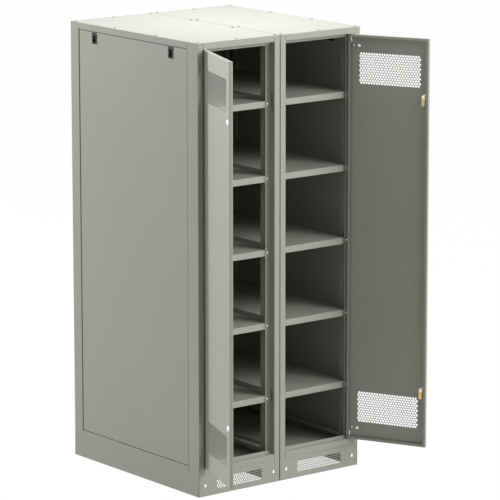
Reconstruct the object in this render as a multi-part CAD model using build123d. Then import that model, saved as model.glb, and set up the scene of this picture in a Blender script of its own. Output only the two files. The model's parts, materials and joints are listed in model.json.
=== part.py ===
"""Double-bay battery cabinet of folded sheet steel, on a ventilated plinth, with both doors open."""

from build123d import *
import os
from math import hypot, sqrt

os.makedirs("parts", exist_ok=True)

# Overall form. X runs across the front, Y from front to back, Z up; the origin is under the middle.
bay_width = 448.0
bay_gap = 4.0
depth = 940.0
height = 2000.0
plinth_height = 98.0
sheet_steel = 1.5
plinth_steel = 2.0
roof_steel = 2.0

# Corner posts, as seen from above: a front face, a return into the opening, and two perforated flanges.
post_face = 29.0
post_return = 35.0
post_flange = 23.0
front_post_side = 75.0
rear_post_side = 62.0
side_rebate = 28.5
post_side_flange = 23.0
hole_pitch = 30.0
hole_count = 60
hole_size = 7.5
hole_inset = 12.0
first_hole_below_top = 64.0

# Rails between the posts. A door closes against the stop, a side panel against the rebate.
head_depth = 28.0
sill_depth = 30.0
side_rail_depth = 28.0
stop_setback = 26.0
head_stop = 16.0
sill_stop = 14.0
rail_top_flange = 30.0
side_rail_flange = 50.0
seat_flange = 20.0

# Shelves hang on the posts' hole rows.
shelf_rows = (8, 19, 30, 41, 52)
shelf_lip = 28.0
shelf_clearance = 0.5
shelf_lip_hole = 12.0

# Doors: shallow trays, hinged at the outer posts.
door_gap = 2.0
door_thickness = 16.0
door_lip = 12.0
left_door_angle = 110.5
right_door_angle = 116.0
hinge_inset = 12.0
hinge_setback = 6.5
hinge_pin = 5.0
hinge_pin_length = 42.0
hinge_pin_reach = 6.0
hinge_running_gap = 0.05
hinge_thrust_gap = 0.2
hinge_block = 10.0
bush_wall = 1.5
bush_flange = 1.0
seat_gap = 0.05
vent_pitch = 25.0
vent_columns = 12
vent_rows = 7
vent_hole = 19.0
vent_from_end = 150.5
vent_shift = 2.0

# Locks: a round barrel through the door, whose core carries a flat cam that turns into the post.
lock_inset = 24.0
lock_rows = (8, 52)
barrel_dome = 27.0
barrel_dome_height = 5.0
barrel_body = 19.0
barrel_nut = 25.0
barrel_nut_height = 3.0
core_diameter = 12.0
core_running_gap = 0.05
cam_reach = 40.0
cam_width = 15.0
cam_thickness = 2.0
cam_behind_door = 1.5
strike_slot_width = 9.0
strike_slot_height = 72.0

# Side panels, each held by two sprung slide latches near its top edge.
panel_gap = 3.0
panel_recess = 2.0
panel_seat_gap = 0.3
latch_width = 33.0
latch_height = 46.0
latch_depth = 14.0
latch_wall = 2.0
latch_bezel = 2.5
latch_bezel_height = 1.0
latch_below_top = 27.0
latch_from_post = 119.0
slider_width = 18.0
slider_height = 22.0
slider_travel = 8.0
slider_play = 0.3
tongue_thickness = 3.0
tongue_catch = 5.0

# Floor, roof and plinth.
floor_setback = 38.0
cable_entry_width = 200.0
cable_entry_depth = 110.0
cable_entry_from_back = 90.0
plinth_flange = 30.0
plinth_vent_pitch = 23.2
plinth_vent_columns = 11
plinth_vent_rows = 3
plinth_vent_hole = 15.0
plinth_vent_height = 49.5
anchor_inset = 15.0
anchor_from_end = 70.0
anchor_hole = 11.0

# Fasteners.
screw_head = 12.0
screw_head_height = 3.0
screw_shank = 4.5
screw_clearance = 0.4
bolt_head = 14.0
roof_screw_inset = 15.0
roof_screw_end_inset = 18.0
roof_screw_from_front = 318.0
roof_screw_from_back = 320.0
plinth_bolt_inset = 34.0
plinth_bolt_height = 48.0
plinth_tab = 50.0
shelf_screw_length = 6.0
roof_screw_length = 7.0
plinth_bolt_length = 9.0
joining_heights = (600.0, 1500.0)
joining_inset = 40.0
joining_bolt = 8.0
spacer_diameter = 20.0
nut_height = 5.0

# Worked out from the sizes above.
front = -depth / 2
back = depth / 2
seam = bay_gap / 2
outside = seam + bay_width
bay_middle = (seam + outside) / 2
frame_top = height - roof_steel
opening_left = seam + post_face
opening_right = outside - post_face
door_width = opening_right - opening_left - 2 * door_gap
door_bottom = plinth_height + sill_depth + door_gap
door_top = height - head_depth - door_gap
door_height = door_top - door_bottom
hinge_x = opening_right - door_gap - hinge_inset
hinge_y = front + hinge_setback
lock_x = opening_left + door_gap + lock_inset
flange_back = front + post_return + sheet_steel
shelf_levels = [height - first_hole_below_top - row * hole_pitch + shelf_lip / 2 for row in shelf_rows]
lock_heights = [height - first_hole_below_top - row * hole_pitch + shelf_lip / 2 for row in lock_rows]
overlap = 1.0


def sheet(points, thickness):
    """Section of a folded sheet: the outline runs along its outer skin, with the metal on the left."""
    normals = []
    for (x1, y1), (x2, y2) in zip(points, points[1:]):
        length = hypot(x2 - x1, y2 - y1)
        normals.append(((y1 - y2) / length, (x2 - x1) / length))
    inner = []
    for (x, y), before, after in zip(points, normals[:1] + normals, normals + normals[-1:]):
        share = thickness / (1 + before[0] * after[0] + before[1] * after[1])
        inner.append((x + share * (before[0] + after[0]), y + share * (before[1] + after[1])))
    return make_face(Polyline(*points, *reversed(inner), close=True))


def block(low, high):
    """Box between two corners."""
    size = [b - a for a, b in zip(low, high)]
    middle = [(a + b) / 2 for a, b in zip(low, high)]
    return Pos(*middle) * Box(*size)


def staggered(columns, rows, pitch):
    """Places of a staggered perforation, about its middle: every second row has one hole fewer."""
    row_pitch = pitch * sqrt(3) / 2
    places = []
    for row in range(rows):
        count = columns - row % 2
        for column in range(count):
            places.append(((column - (count - 1) / 2) * pitch, (row - (rows - 1) / 2) * row_pitch))
    return places


def drill_y(places, size, y, length, sides=4):
    """Straight holes along Y at places (x, z), centred on y."""
    holes = Sketch() + [Pos(x, -z) * RegularPolygon(size / 2, sides) for x, z in places]
    return Pos(0, y - length / 2, 0) * (Rot(-90, 0, 0) * extrude(holes, amount=length))


def drill_z(places, size, z, length, sides=4):
    """Straight holes along Z at places (x, y), centred on z."""
    holes = Sketch() + [Pos(x, y) * RegularPolygon(size / 2, sides) for x, y in places]
    return Pos(0, 0, z - length / 2) * extrude(holes, amount=length)


def screw(head, shank, length):
    """Pan-head screw along -Z, its head standing on Z = 0."""
    top = extrude(RegularPolygon(head / 2, 8), amount=screw_head_height, taper=25)
    return top + Pos(0, 0, -length / 2) * extrude(RegularPolygon(shank / 2, 4), amount=length / 2, both=True)


def on_bay(shape, side):
    """The right-hand bay's shape, or its mirror image for the left-hand bay."""
    return shape if side > 0 else mirror(shape, about=Plane.YZ)


def write(name, shape):
    export_step(shape, f"parts/{name}.step")


def post(side_depth):
    """Post with its outer corner at the origin, the opening towards -X and the cabinet's inside towards +Y."""
    section = sheet(
        [
            (-post_face - post_flange, post_return),
            (-post_face, post_return),
            (-post_face, 0),
            (0, 0),
            (0, side_depth),
            (-side_rebate, side_depth),
            (-side_rebate, side_depth + post_side_flange),
        ],
        sheet_steel,
    )
    body = Pos(0, 0, plinth_height) * extrude(section, amount=frame_top - plinth_height)
    cap = block(
        (-post_face + sheet_steel, sheet_steel, frame_top - 2 * sheet_steel),
        (-sheet_steel, side_depth - sheet_steel, frame_top),
    )
    levels = [height - first_hole_below_top - step * hole_pitch for step in range(hole_count)]
    row_x = -post_face - hole_inset
    return body + cap - drill_y([(row_x, z) for z in levels], hole_size, post_return, 4 * sheet_steel)


def side_rail(points):
    """Rail along a bay's side, with its outer face at X = 0, notched round both posts' flanges."""
    rail = extrude(Plane.XZ * sheet(points, sheet_steel), amount=depth - front_post_side - rear_post_side)
    rail = Pos(0, back - rear_post_side, 0) * rail
    notch = post_side_flange + panel_seat_gap
    for low, high in (
        (front + front_post_side - overlap, front + front_post_side + notch),
        (back - rear_post_side - notch, back - rear_post_side + overlap),
    ):
        rail -= block((side_rebate, low, 0), (side_rail_flange + overlap, high, height))
    return rail


def cross_rail(points):
    """Rail between two posts, with its outer face on the front plane."""
    rail = extrude(Plane.YZ * sheet(points, sheet_steel), amount=opening_right - opening_left)
    return Pos(opening_left, front, 0) * rail


def at_outside(shape):
    return Pos(outside, 0, 0) * mirror(shape, about=Plane.YZ)


def at_back(shape):
    return mirror(shape, about=Plane.XZ)


# Frame of one bay: four posts, and rails at the top and the bottom.
head_points = [
    (rail_top_flange, frame_top),
    (0, frame_top),
    (0, height - head_depth),
    (stop_setback, height - head_depth),
    (stop_setback, height - head_depth - head_stop),
]
sill_points = [
    (stop_setback, plinth_height + sill_depth + sill_stop),
    (stop_setback, plinth_height + sill_depth),
    (0, plinth_height + sill_depth),
    (0, plinth_height),
    (rail_top_flange, plinth_height),
]
side_top_points = [
    (rail_top_flange, frame_top),
    (0, frame_top),
    (0, height - side_rail_depth - sheet_steel),
    (side_rebate, height - side_rail_depth - sheet_steel),
    (side_rebate, height - side_rail_depth - sheet_steel - seat_flange),
]
side_bottom_points = [
    (side_rebate, plinth_height + side_rail_depth + sill_stop),
    (side_rebate, plinth_height + side_rail_depth),
    (0, plinth_height + side_rail_depth),
    (0, plinth_height),
    (side_rail_flange, plinth_height),
]
panel_low = (front + front_post_side + panel_gap, plinth_height + side_rail_depth + panel_gap)
panel_high = (back - rear_post_side - panel_gap, height - side_rail_depth - sheet_steel - panel_gap)
panel_face = outside - panel_recess
panel_inner = outside - side_rebate + panel_seat_gap
latch_places = (front + front_post_side + latch_from_post, back - rear_post_side - latch_from_post)
latch_z = panel_high[1] - latch_below_top
slider_x = panel_face - latch_depth / 2
tongue_x = slider_x
tongue_top = height - side_rail_depth + tongue_catch

front_post = post(front_post_side)
rear_post = post(rear_post_side)
strike = [
    block(
        (-post_face - overlap, 0, z - strike_slot_height / 2),
        (-post_face + sheet_steel + overlap, strike_slot_width, z + strike_slot_height / 2),
    )
    for z in lock_heights
]
bush_radius = hinge_pin / 2 + hinge_running_gap + bush_wall
cam_plane = door_thickness + cam_behind_door + cam_thickness / 2
lock_post = front_post - [Pos(0, cam_plane - strike_slot_width / 2, 0) * slot for slot in strike]
joining_places = [(side * (depth / 2 - joining_inset), z) for side in (-1, 1) for z in joining_heights]
joining_holes = [
    Pos(seam, y, z) * Rot(0, 90, 0) * Cylinder(joining_bolt / 2 + screw_clearance, 4 * sheet_steel)
    for y, z in joining_places
]
roof_screw_rows = (roof_screw_end_inset, roof_screw_from_front, depth - roof_screw_from_back, depth - roof_screw_end_inset)
roof_screw_places = [
    (x, front + y) for x in (seam + roof_screw_inset, outside - roof_screw_inset) for y in roof_screw_rows
] + [(bay_middle, front + roof_screw_rows[0]), (bay_middle, front + roof_screw_rows[-1])]
roof_holes = drill_z(roof_screw_places, screw_shank + 2 * screw_clearance, frame_top, 8 * roof_steel)
bolt_places = [(seam + plinth_bolt_inset, plinth_bolt_height), (outside - plinth_bolt_inset, plinth_bolt_height)]
tongue_slots = [
    Pos(tongue_x, y, panel_high[1])
    * Box(tongue_thickness + 2 * slider_play, slider_width + 2 * slider_play, 8 * panel_gap)
    for y in latch_places
]

for side, name in ((-1, "left"), (1, "right")):
    outer_front = Pos(outside, front, 0) * front_post
    inner_front = Pos(seam, front, 0) * mirror(lock_post, about=Plane.YZ)
    outer_rear = at_back(Pos(outside, front, 0) * rear_post)
    inner_rear = at_back(Pos(seam, front, 0) * mirror(rear_post, about=Plane.YZ))
    write(f"{name}_front_outer_post", on_bay(outer_front - roof_holes, side))
    write(f"{name}_front_inner_post", on_bay(inner_front - roof_holes - joining_holes, side))
    write(f"{name}_rear_outer_post", on_bay(outer_rear - roof_holes, side))
    write(f"{name}_rear_inner_post", on_bay(inner_rear - roof_holes - joining_holes, side))

    pivot_hole = [
        Pos(hinge_x, hinge_y, z) * Cylinder(bush_radius + seat_gap, 6 * sheet_steel)
        for z in (height - head_depth, plinth_height + sill_depth)
    ]
    head_rail = cross_rail(head_points)
    sill = cross_rail(sill_points)
    write(f"{name}_head_rail", on_bay(head_rail - roof_holes - pivot_hole, side))
    write(f"{name}_sill", on_bay(sill - pivot_hole, side))
    side_top = side_rail(side_top_points)
    top_rails = [at_back(head_rail) - roof_holes, Pos(seam, 0, 0) * side_top - roof_holes]
    top_rails.append(at_outside(side_top) - roof_holes - tongue_slots)
    write(f"{name}_top_rails", on_bay(Compound(children=top_rails), side))
    side_bottom = side_rail(side_bottom_points)
    bottom_rails = [at_back(sill), Pos(seam, 0, 0) * side_bottom, at_outside(side_bottom)]
    write(f"{name}_bottom_rails", on_bay(Compound(children=bottom_rails), side))


# Shelves, floor, roof and fixed panels.
shelf_left = seam + side_rebate + sheet_steel + shelf_clearance
shelf_right = outside - side_rebate - sheet_steel - shelf_clearance
shelf_front = flange_back + panel_seat_gap
row_places = (opening_left + hole_inset, opening_right - hole_inset)


def tray(low, high, open_side, thickness):
    """Box of folded sheet between two corners, with no wall on its open side."""
    inner_low = [value + thickness for value in low]
    inner_high = [value - thickness for value in high]
    axis, end = open_side
    if end < 0:
        inner_low[axis] = low[axis] - overlap
    else:
        inner_high[axis] = high[axis] + overlap
    return block(low, high) - block(inner_low, inner_high)


def shelf(level):
    body = tray((shelf_left, shelf_front, level - shelf_lip), (shelf_right, -shelf_front, level), (2, -1), sheet_steel)
    screws = [(x, level - shelf_lip / 2) for x in row_places]
    for y in (shelf_front, -shelf_front):
        body -= drill_y(screws, hole_size, y, 4 * sheet_steel)
    side_hole = Pos(bay_middle, 0, level - shelf_lip / 2) * Rot(0, 90, 0)
    return body - side_hole * Cylinder(shelf_lip_hole / 2, bay_width)


def side_panel():
    low = (panel_inner, panel_low[0], panel_low[1])
    high = (panel_face, panel_high[0], panel_high[1])
    body = tray(low, high, (0, -1), sheet_steel)
    for y in latch_places:
        body -= Pos(panel_face, y, latch_z) * Box(4 * sheet_steel, latch_width, latch_height)
    return body - tongue_slots


def latch_housing(y):
    """Recessed cup with a bezel; the slider runs in its pocket."""
    body = block(
        (panel_face - latch_depth, y - latch_width / 2, latch_z - latch_height / 2),
        (panel_face, y + latch_width / 2, latch_z + latch_height / 2),
    )
    half_width, half_height = latch_width / 2 + latch_bezel, latch_height / 2 + latch_bezel
    body += block(
        (panel_face, y - half_width, latch_z - half_height),
        (panel_face + latch_bezel_height, y + half_width, latch_z + half_height),
    )
    pocket_width = slider_width / 2 + slider_play
    body -= block(
        (panel_face - latch_depth + latch_wall, y - pocket_width, latch_z - latch_height / 2 + latch_wall),
        (outside + overlap, y + pocket_width, latch_z + latch_height / 2 - latch_wall),
    )
    return body - tongue_slots


def latch_slider(y):
    """Finger slide with the tongue that reaches up behind the rail."""
    top = latch_z + latch_height / 2 - latch_wall - slider_play
    back_face = panel_face - latch_depth + latch_wall + slider_play
    grip = block((back_face, y - slider_width / 2, top - slider_height), (panel_face, y + slider_width / 2, top))
    tongue = block(
        (tongue_x - tongue_thickness / 2, y - slider_width / 2, top - overlap),
        (tongue_x + tongue_thickness / 2, y + slider_width / 2, tongue_top),
    )
    return grip + tongue


def plinth_panel(vented):
    """Front or rear panel of the plinth, with its flanges cut back at both corners."""
    section = sheet([(plinth_flange, plinth_height), (0, plinth_height), (0, 0), (plinth_flange, 0)], plinth_steel)
    body = Pos(seam, front, 0) * extrude(Plane.YZ * section, amount=bay_width)
    cut = plinth_flange + panel_seat_gap
    for low_x in (seam - overlap, outside - cut):
        body -= block(
            (low_x, front + plinth_steel, -overlap),
            (low_x + cut + overlap, front + plinth_flange + overlap, plinth_height + overlap),
        )
    body -= drill_y(bolt_places, screw_shank + 2 * screw_clearance, front, 4 * plinth_steel)
    if vented:
        pattern = staggered(plinth_vent_columns, plinth_vent_rows, plinth_vent_pitch)
        places = [(bay_middle + x, plinth_vent_height + z) for x, z in pattern]
        body -= drill_y(places, plinth_vent_hole, front, 4 * plinth_steel)
    return body


def plinth_side():
    """Side of the plinth with its outer face at X = 0 and a bolting tab at each end."""
    section = sheet([(plinth_flange, plinth_height), (0, plinth_height), (0, 0), (plinth_flange, 0)], plinth_steel)
    length = depth - 2 * plinth_steel
    body = Pos(0, length / 2, 0) * extrude(Plane.XZ * section, amount=length)
    for low_y in (-length / 2, length / 2 - plinth_steel):
        body += block(
            (0, low_y, plinth_steel + panel_seat_gap),
            (plinth_tab, low_y + plinth_steel, plinth_height - plinth_steel - panel_seat_gap),
        )
    bolt = [(plinth_bolt_inset, plinth_bolt_height)]
    for y in (-length / 2, length / 2):
        body -= drill_y(bolt, screw_shank + 2 * screw_clearance, y, 4 * plinth_steel)
    return body


# Doors and what they carry, drawn closed and then swung open.
door_left = opening_left + door_gap
door_right = opening_right - door_gap


def swing(shape, angle):
    return Pos(hinge_x, hinge_y, 0) * Rot(0, 0, angle) * Pos(-hinge_x, -hinge_y, 0) * shape


def turned_y(radius, low, high, x, z):
    """Cylinder along Y between two distances behind the door's face."""
    return Pos(x, front + (low + high) / 2, z) * Rot(90, 0, 0) * Cylinder(radius, high - low)


def door():
    low = (door_left, front, door_bottom)
    high = (door_right, front + door_thickness, door_top)
    body = tray(low, high, (1, 1), sheet_steel)
    frame = block((door_left, front + door_thickness - sheet_steel, door_bottom), high)
    frame -= block(
        (door_left + door_lip, front, door_bottom + door_lip),
        (door_right - door_lip, front + door_thickness + overlap, door_top - door_lip),
    )
    body += frame
    pattern = staggered(vent_columns, vent_rows, vent_pitch)
    middle_x = (door_left + door_right) / 2 - vent_shift
    for z in (door_top - vent_from_end, door_bottom + vent_from_end):
        body -= drill_y([(middle_x + x, z + dz) for x, dz in pattern], vent_hole, front, 4 * sheet_steel)
    for z in lock_heights:
        body -= turned_y(barrel_body / 2 + screw_clearance, -overlap, 2 * sheet_steel, lock_x, z)
    return body - Pos(hinge_x, hinge_y, (door_bottom + door_top) / 2) * Cylinder(
        hinge_pin / 2 + hinge_running_gap, door_height + 2 * overlap
    )


def hinge_pin_on_door(end, sign):
    """Pin through the door's top or bottom wall, carried by a block in the hinge corner."""
    pin = Pos(hinge_x, hinge_y, end + sign * (hinge_pin_reach - hinge_pin_length / 2)) * Cylinder(
        hinge_pin / 2, hinge_pin_length
    )
    far = end + sign * (hinge_pin_reach - hinge_pin_length)
    near = far + sign * hinge_block
    carrier = block(
        (hinge_x - hinge_block / 2, front + sheet_steel + seat_gap, min(near, far)),
        (door_right - sheet_steel - seat_gap, hinge_y + hinge_block / 2, max(near, far)),
    )
    return pin + carrier


def hinge_bush(face, sign):
    """Flanged bush in the head rail or the sill; the door's edge runs on its flange."""
    thrust = door_gap - hinge_thrust_gap
    body = Pos(0, 0, sign * hinge_pin_reach / 2) * Cylinder(bush_radius, hinge_pin_reach)
    body += Pos(0, 0, -sign * thrust / 2) * Cylinder(bush_radius + bush_flange, thrust)
    bore = Cylinder(hinge_pin / 2 + hinge_running_gap, 4 * hinge_pin_reach)
    return Pos(hinge_x, hinge_y, face) * (body - bore)


def lock_barrel(z):
    dome = turned_y(barrel_dome / 2, -barrel_dome_height, 0, lock_x, z)
    dome = fillet(dome.edges().group_by(Axis.Y)[0], barrel_dome_height / 2)
    body = dome + turned_y(barrel_body / 2, -overlap, door_thickness, lock_x, z)
    body += turned_y(barrel_nut / 2, sheet_steel, sheet_steel + barrel_nut_height, lock_x, z)
    bore = turned_y(core_diameter / 2 + core_running_gap, -2 * barrel_dome_height, 2 * door_thickness, lock_x, z)
    return body - bore


def lock_cam(z):
    """Key core with its flat cam hanging down, unlocked."""
    core = turned_y(core_diameter / 2, -barrel_dome_height, door_thickness + cam_behind_door, lock_x, z)
    outline = Circle(cam_width / 2) + Pos(0, -(cam_reach - cam_width / 2) / 2) * Rectangle(
        cam_width, cam_reach - cam_width / 2
    )
    outline += Pos(0, -(cam_reach - cam_width / 2)) * Circle(cam_width / 2)
    start = front + door_thickness + cam_behind_door + cam_thickness
    return core + Pos(lock_x, start, z) * extrude(Plane.XZ * outline, amount=cam_thickness)


front_plinth = plinth_panel(vented=True)
rear_plinth = at_back(plinth_panel(vented=False))
inner_plinth = Pos(seam, 0, 0) * plinth_side()
anchor_holes = [
    Pos(outside - anchor_inset, y, 0) * Cylinder(anchor_hole / 2, 4 * plinth_steel)
    for y in (front + anchor_from_end, back - anchor_from_end)
]
outer_plinth = at_outside(plinth_side()) - anchor_holes
floor = block(
    (shelf_left, front + floor_setback, plinth_height + sheet_steel),
    (shelf_right, back - floor_setback, plinth_height + 2 * sheet_steel),
)
floor -= Pos(bay_middle, back - cable_entry_from_back - cable_entry_depth / 2, plinth_height) * Box(
    cable_entry_width, cable_entry_depth, 6 * sheet_steel
)
rear_panel = tray(
    (door_left, back - stop_setback + panel_seat_gap, door_bottom), (door_right, back, door_top), (1, -1), sheet_steel
)
roof = block((seam, front, frame_top), (outside, back, height)) - roof_holes
closed_door = door()
panel = side_panel()

for side, name, angle in ((-1, "left", left_door_angle), (1, "right", right_door_angle)):
    write(f"{name}_floor", on_bay(floor, side))
    write(f"{name}_rear_panel", on_bay(rear_panel, side))
    write(f"{name}_roof", on_bay(roof, side))
    write(f"{name}_side_panel", on_bay(panel, side))
    housings = [latch_housing(y) for y in latch_places]
    write(f"{name}_latch_housings", on_bay(Compound(children=housings), side))
    for y, place in zip(latch_places, ("front", "rear")):
        write(f"{name}_{place}_latch", on_bay(latch_slider(y), side))
    for number, level in enumerate(shelf_levels, 1):
        write(f"{name}_shelf_{number}", on_bay(shelf(level), side))
    write(f"{name}_plinth_front", on_bay(front_plinth, side))
    write(f"{name}_plinth_frame", on_bay(Compound(children=[rear_plinth, inner_plinth, outer_plinth]), side))

    write(f"{name}_door", on_bay(swing(closed_door, angle), side))
    pins = [hinge_pin_on_door(door_top, 1), hinge_pin_on_door(door_bottom, -1)]
    write(f"{name}_hinge_pins", on_bay(swing(Compound(children=pins), angle), side))
    bushes = [hinge_bush(height - head_depth, 1), hinge_bush(plinth_height + sill_depth, -1)]
    write(f"{name}_hinge_bushes", on_bay(Compound(children=bushes), side))
    barrels = [lock_barrel(z) for z in lock_heights]
    write(f"{name}_lock_barrels", on_bay(swing(Compound(children=barrels), angle), side))
    for z, place in zip(lock_heights, ("upper", "lower")):
        write(f"{name}_{place}_cam", on_bay(swing(lock_cam(z), angle), side))

# Fasteners, one node for each kind.
roof_screws = [Pos(x, y, height) * screw(screw_head, screw_shank, roof_screw_length) for x, y in roof_screw_places]
shelf_screws = [
    Pos(x, front + post_return, level - shelf_lip / 2)
    * Rot(90, 0, 0)
    * screw(screw_head, screw_shank, shelf_screw_length)
    for x in row_places
    for level in shelf_levels
]
shelf_screws += [at_back(one) for one in shelf_screws]
plinth_bolts = [
    Pos(x, front, z) * Rot(90, 0, 0) * screw(bolt_head, screw_shank, plinth_bolt_length) for x, z in bolt_places
]
plinth_bolts += [at_back(one) for one in plinth_bolts]
for name, group in (("roof_screws", roof_screws), ("shelf_screws", shelf_screws), ("plinth_bolts", plinth_bolts)):
    write(name, Compound(children=group + [on_bay(one, -1) for one in group]))

half_grip = seam + sheet_steel
bolt = Cylinder(joining_bolt / 2, 2 * (half_grip + overlap)) + Cylinder(spacer_diameter / 2, bay_gap)
for end in (-1, 1):
    bolt += Pos(0, 0, end * (half_grip + nut_height / 2)) * extrude(
        RegularPolygon(joining_bolt, 6), amount=nut_height / 2, both=True
    )
write("joining_bolts", Compound(children=[Pos(0, y, z) * Rot(0, 90, 0) * bolt for y, z in joining_places]))
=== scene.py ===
import bpy
import json
from math import radians, sin, cos, sqrt, pi
from mathutils import Matrix, Vector


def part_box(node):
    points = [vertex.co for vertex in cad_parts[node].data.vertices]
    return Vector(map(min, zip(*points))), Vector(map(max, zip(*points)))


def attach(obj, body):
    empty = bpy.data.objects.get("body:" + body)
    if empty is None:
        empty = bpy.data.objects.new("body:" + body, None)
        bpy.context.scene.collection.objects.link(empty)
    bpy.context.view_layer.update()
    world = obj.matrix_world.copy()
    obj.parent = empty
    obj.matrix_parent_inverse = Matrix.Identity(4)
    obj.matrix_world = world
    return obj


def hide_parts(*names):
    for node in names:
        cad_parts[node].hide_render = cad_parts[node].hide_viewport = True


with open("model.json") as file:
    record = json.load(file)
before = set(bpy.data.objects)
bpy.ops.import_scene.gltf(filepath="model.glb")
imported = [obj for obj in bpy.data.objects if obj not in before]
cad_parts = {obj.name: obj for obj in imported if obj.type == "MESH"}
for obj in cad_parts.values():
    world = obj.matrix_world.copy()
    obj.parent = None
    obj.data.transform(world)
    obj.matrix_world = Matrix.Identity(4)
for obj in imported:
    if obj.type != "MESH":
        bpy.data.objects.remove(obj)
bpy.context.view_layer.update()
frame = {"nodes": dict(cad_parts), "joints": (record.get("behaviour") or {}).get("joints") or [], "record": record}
nodes = frame["nodes"]
mm = 0.001
fineEdge = 0.4 * mm                       # softening of the small parts
sideNames = ("left", "right")


# small modelling helpers

def nothingSelected():
    if bpy.context.object and bpy.context.object.mode != "OBJECT":
        bpy.ops.object.mode_set(mode="OBJECT")
    bpy.ops.object.select_all(action="DESELECT")


def makeActive(piece):
    nothingSelected()
    piece.select_set(True)
    bpy.context.view_layer.objects.active = piece


def editMode(selectAll=False):
    bpy.ops.object.mode_set(mode="EDIT")
    bpy.ops.mesh.select_all(action="SELECT" if selectAll else "DESELECT")


def objectMode():
    bpy.ops.object.mode_set(mode="OBJECT")


def pickVerts(piece, test):
    # selects the vertices that pass the test, and the edges and faces between them
    bpy.ops.object.mode_set(mode="EDIT")
    bpy.ops.mesh.select_mode(type="VERT")
    bpy.ops.mesh.select_all(action="DESELECT")
    objectMode()
    for v in piece.data.vertices:
        v.select = test(v.co)
    bpy.ops.object.mode_set(mode="EDIT")


def applyModifier(piece, kind, **values):
    makeActive(piece)
    modifier = piece.modifiers.new(kind.lower(), kind)
    for key, value in values.items():
        setattr(modifier, key, value)
    bpy.ops.object.modifier_apply(modifier=modifier.name)


def joined(pieces, name):
    nothingSelected()
    for piece in pieces:
        piece.select_set(True)
    bpy.context.view_layer.objects.active = pieces[0]
    if len(pieces) > 1:
        bpy.ops.object.join()
    result = bpy.context.object
    result.name = result.data.name = name
    return result


def copied(piece, name, matrix=None):
    twin = piece.copy()
    twin.data = piece.data.copy()
    twin.name = twin.data.name = name
    twin.parent = None
    bpy.context.scene.collection.objects.link(twin)
    twin.hide_viewport = twin.hide_render = False
    if matrix is not None:
        twin.data.transform(matrix)
        if matrix.determinant() < 0:
            twin.data.flip_normals()
    return twin


def settle(piece):
    # place, turn and scale go into the mesh
    makeActive(piece)
    bpy.ops.object.transform_apply(location=True, rotation=True, scale=True)


def smoothByAngle(piece, angle=35):
    makeActive(piece)
    bpy.ops.object.shade_smooth_by_angle(angle=radians(angle))


def keepFlats(piece):
    # large flat faces keep an even shade beside their rounded edges
    applyModifier(piece, "WEIGHTED_NORMAL", keep_sharp=True, weight=100)


def mergeDoubles(piece, distance=0.05 * mm):
    makeActive(piece)
    editMode(selectAll=True)
    bpy.ops.mesh.remove_doubles(threshold=distance)
    objectMode()


def dress(piece, material):
    piece.data.materials.clear()
    piece.data.materials.append(material)


def hand(piece, body, slot, *replaced):
    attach(piece, body)
    if replaced:
        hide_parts(*replaced)


mirrorX = Matrix.Scale(-1, 4, Vector((1, 0, 0)))
mirrorY = Matrix.Scale(-1, 4, Vector((0, 1, 0)))


# shader groups shared by the finishes

def newGroup(name, inputs, outputs):
    group = bpy.data.node_groups.new(name, "ShaderNodeTree")
    for label, kind, value in inputs:
        socket = group.interface.new_socket(label, in_out="INPUT", socket_type=kind)
        if value is not None:
            socket.default_value = value
    for label, kind in outputs:
        group.interface.new_socket(label, in_out="OUTPUT", socket_type=kind)
    return group, group.nodes.new("NodeGroupInput"), group.nodes.new("NodeGroupOutput")


def wire(tree, source, sourceSocket, target, targetSocket):
    tree.links.new(source.outputs[sourceSocket], target.inputs[targetSocket])


def tintGroup():
    # base colour with slow cloudy variation and faint specks
    group, inside, outside = newGroup(
        "coatTint",
        (("Vector", "NodeSocketVector", None), ("Colour", "NodeSocketColor", (0.5, 0.5, 0.5, 1)),
         ("Cloud Scale", "NodeSocketFloat", 3.0), ("Cloud Amount", "NodeSocketFloat", 0.04),
         ("Speck Scale", "NodeSocketFloat", 900.0), ("Speck Amount", "NodeSocketFloat", 0.03)),
        (("Colour", "NodeSocketColor"),),
    )
    cloud = group.nodes.new("ShaderNodeTexNoise")
    cloud.inputs["Detail"].default_value = 3
    speck = group.nodes.new("ShaderNodeTexNoise")
    speck.inputs["Detail"].default_value = 1
    wire(group, inside, "Vector", cloud, "Vector")
    wire(group, inside, "Cloud Scale", cloud, "Scale")
    wire(group, inside, "Vector", speck, "Vector")
    wire(group, inside, "Speck Scale", speck, "Scale")
    steps = []
    for source, amount in ((cloud, "Cloud Amount"), (speck, "Speck Amount")):
        middle = group.nodes.new("ShaderNodeMath")
        middle.operation = "SUBTRACT"
        middle.inputs[1].default_value = 0.5
        wire(group, source, "Fac", middle, 0)
        scaled = group.nodes.new("ShaderNodeMath")
        scaled.operation = "MULTIPLY_ADD"
        scaled.inputs[2].default_value = 1.0 if not steps else 0.0
        wire(group, middle, "Value", scaled, 0)
        wire(group, inside, amount, scaled, 1)
        steps.append(scaled)
    total = group.nodes.new("ShaderNodeMath")
    total.operation = "ADD"
    wire(group, steps[0], "Value", total, 0)
    wire(group, steps[1], "Value", total, 1)
    shade = group.nodes.new("ShaderNodeVectorMath")
    shade.operation = "SCALE"
    wire(group, inside, "Colour", shade, 0)
    wire(group, total, "Value", shade, "Scale")
    wire(group, shade, "Vector", outside, "Colour")
    return group


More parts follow.
